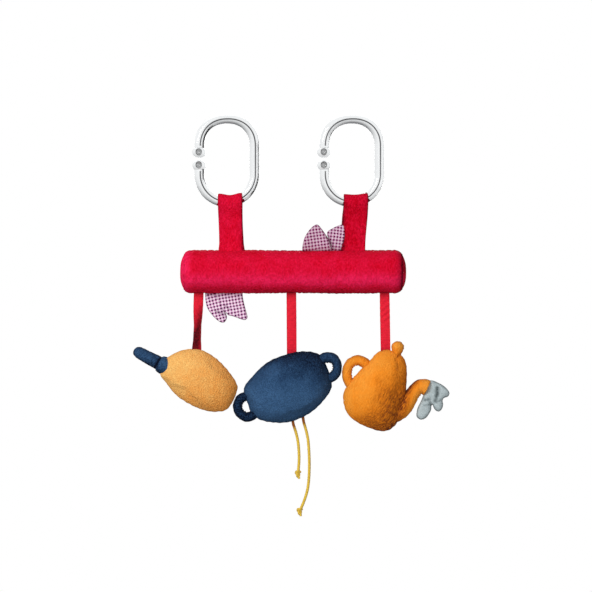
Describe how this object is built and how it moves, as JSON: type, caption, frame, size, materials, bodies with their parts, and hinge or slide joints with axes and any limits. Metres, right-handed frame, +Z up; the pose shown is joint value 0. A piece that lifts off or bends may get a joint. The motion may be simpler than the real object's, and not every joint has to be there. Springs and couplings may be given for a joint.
{
  "type": "pram toy bar",
  "caption": "Stuffed fabric bar that hangs from two clear clip rings and carries stuffed kitchen toys on swinging ribbons.",
  "frame": {"origin": "the inner top of the left ring, where it rests on the pram's rail", "axes": "+Z up, +X to the right as seen from the front, -Y towards the viewer and the child's side"},
  "size_m": [0.278, 0.0372, 0.3518],
  "materials": {
    "clear_plastic": "gloss",
    "crimson_velour": "matte",
    "red_ribbon": "matte",
    "purple_gingham": "matte",
    "apricot_plush": "matte",
    "navy_fleece": "matte",
    "orange_plush": "matte",
    "pale_water_cloth": "matte",
    "yellow_cord": "matte",
    "polyester_filling": "matte",
    "white_plastic": "satin",
    "bell_brass": "satin"
  },
  "bodies": {
    "left_ring": {"ring_left": "clear_plastic"},
    "bar": {"bar_cover_front": "crimson_velour", "bar_cover_back": "crimson_velour", "bar_end_left": "crimson_velour", "bar_end_right": "crimson_velour", "bar_filling": "polyester_filling", "strap_left": "crimson_velour", "strap_right": "crimson_velour"},
    "right_ring": {"ring_right": "clear_plastic"},
    "top_left_leaf": {"leaf_top_left": "purple_gingham"},
    "top_right_leaf": {"leaf_top_right": "purple_gingham"},
    "bottom_left_leaf": {"leaf_bottom_left": "purple_gingham"},
    "bottom_right_leaf": {"leaf_bottom_right": "purple_gingham"},
    "left_ribbon": {"ribbon_left": "red_ribbon"},
    "middle_ribbon": {"ribbon_middle": "red_ribbon"},
    "right_ribbon": {"ribbon_right": "red_ribbon"},
    "pan": {"pan_front": "apricot_plush", "pan_back": "apricot_plush", "pan_filling": "polyester_filling", "pan_rattle": "white_plastic", "pan_collar": "navy_fleece", "pan_grip": "navy_fleece"},
    "pot": {"pot_front": "navy_fleece", "pot_back": "navy_fleece", "pot_filling": "polyester_filling", "pot_squeaker": "white_plastic", "pot_handle_left": "navy_fleece", "pot_handle_right": "navy_fleece"},
    "short_noodle": {"noodle_short": "yellow_cord", "noodle_short_knot": "yellow_cord"},
    "long_noodle": {"noodle_long": "yellow_cord", "noodle_long_knot": "yellow_cord"},
    "teapot": {"teapot_front": "orange_plush", "teapot_back": "orange_plush", "teapot_filling": "polyester_filling", "teapot_bell": "bell_brass", "teapot_handle": "orange_plush", "teapot_knob": "orange_plush", "teapot_spout": "orange_plush"},
    "water": {"splash": "pale_water_cloth"}
  },
  "joints": [
    {"name": "bar_swing", "type": "hinge", "parent": "left_ring", "child": "bar", "pos_m": [0, 0, -0.06845], "axis": [1, 0, 0], "range_deg": [-45, 45]},
    {"name": "right_ring_hinge", "type": "hinge", "parent": "bar", "child": "right_ring", "pos_m": [0.1098, 0, -0.06845], "axis": [1, 0, 0], "range_deg": [-45, 45]},
    {"name": "top_left_leaf_bend", "type": "hinge", "parent": "bar", "child": "top_left_leaf", "pos_m": [0.07905, -0.003, -0.1107], "axis": [1, 0, 0], "range_deg": [-60, 75], "stiffness_Nm_per_rad": 0.0002},
    {"name": "top_right_leaf_bend", "type": "hinge", "parent": "bar", "child": "top_right_leaf", "pos_m": [0.0964, -0.003, -0.1107], "axis": [1, 0, 0], "range_deg": [0, 75], "stiffness_Nm_per_rad": 0.0002},
    {"name": "bottom_left_leaf_bend", "type": "hinge", "parent": "bar", "child": "bottom_left_leaf", "pos_m": [-0.01595, 0, -0.1503], "axis": [1, 0, 0], "range_deg": [-60, 60]},
    {"name": "bottom_right_leaf_bend", "type": "hinge", "parent": "bar", "child": "bottom_right_leaf", "pos_m": [0.001, 0, -0.1503], "axis": [1, 0, 0], "range_deg": [-60, 60]},
    {"name": "left_ribbon_swing", "type": "hinge", "parent": "bar", "child": "left_ribbon", "pos_m": [-0.025, 0, -0.1499], "axis": [1, 0, 0], "range_deg": [-60, 60]},
    {"name": "middle_ribbon_swing", "type": "hinge", "parent": "bar", "child": "middle_ribbon", "pos_m": [0.0564, 0, -0.1499], "axis": [1, 0, 0], "range_deg": [-60, 60]},
    {"name": "right_ribbon_swing", "type": "hinge", "parent": "bar", "child": "right_ribbon", "pos_m": [0.1384, 0, -0.1499], "axis": [1, 0, 0], "range_deg": [-60, 60]},
    {"name": "pan_twist", "type": "hinge", "parent": "left_ribbon", "child": "pan", "pos_m": [-0.0271, 0, -0.1984], "axis": [0, 0, 1], "range_deg": [-90, 90], "stiffness_Nm_per_rad": 0.00005},
    {"name": "pot_twist", "type": "hinge", "parent": "middle_ribbon", "child": "pot", "pos_m": [0.0568, 0, -0.2022], "axis": [0, 0, 1], "range_deg": [-90, 90], "stiffness_Nm_per_rad": 0.00005},
    {"name": "teapot_twist", "type": "hinge", "parent": "right_ribbon", "child": "teapot", "pos_m": [0.1394, 0, -0.1993], "axis": [0, 0, 1], "range_deg": [-90, 90], "stiffness_Nm_per_rad": 0.00005},
    {"name": "short_noodle_swing", "type": "hinge", "parent": "pot", "child": "short_noodle", "pos_m": [0.058, 0, -0.2632], "axis": [1, 0, 0], "range_deg": [-50, 50]},
    {"name": "long_noodle_swing", "type": "hinge", "parent": "pot", "child": "long_noodle", "pos_m": [0.067, 0, -0.2599], "axis": [1, 0, 0], "range_deg": [-50, 50]},
    {"name": "splash_flap", "type": "hinge", "parent": "teapot", "child": "water", "pos_m": [0.1752, 0, -0.23282], "axis": [0.3401, 0, 0.9404], "range_deg": [-40, 40], "stiffness_Nm_per_rad": 0.0002}
  ],
  "couplings": [
    {"joint": "right_ring_hinge", "follows": "bar_swing", "ratio": -1}
  ]
}
